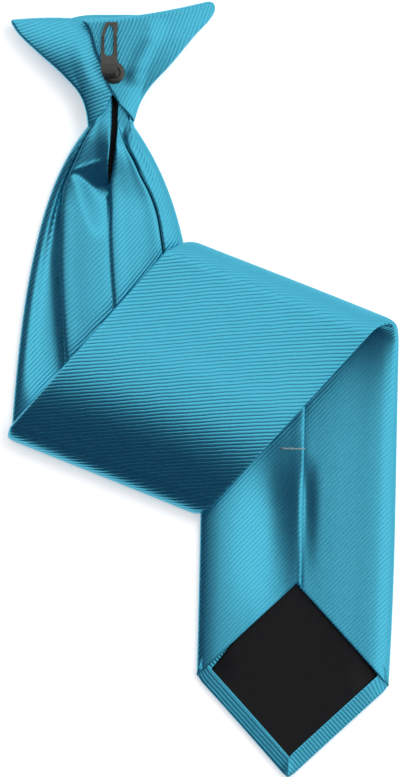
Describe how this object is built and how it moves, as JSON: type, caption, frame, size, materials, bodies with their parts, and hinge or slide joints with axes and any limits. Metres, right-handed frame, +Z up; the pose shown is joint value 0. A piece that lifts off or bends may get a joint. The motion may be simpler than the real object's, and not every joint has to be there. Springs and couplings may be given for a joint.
{
  "type": "clip-on necktie",
  "caption": "Pre-tied clip-on necktie lying back up and folded in three, with its knot, metal collar hook, back seam, dark tipping and pointed end showing.",
  "frame": {"origin": "middle of the folded tie's bounding box, on the surface it lies on", "axes": "+Z up from the surface, +Y from the pointed end towards the knot, +X to the right as seen from above"},
  "size_m": [0.1642, 0.325, 0.0177],
  "materials": {
    "satin": "ribbed satin weave",
    "tipping": "smooth satin lining",
    "gunmetal": "dark plated, satin"
  },
  "bodies": {
    "root": {"blade": "satin", "tipping": "tipping", "slit_lining": "tipping", "knot_front": "satin", "knot_wrap_left": "satin", "knot_wrap_right": "satin", "hook": "gunmetal", "hook_rivet": "gunmetal"}
  },
  "joints": []
}
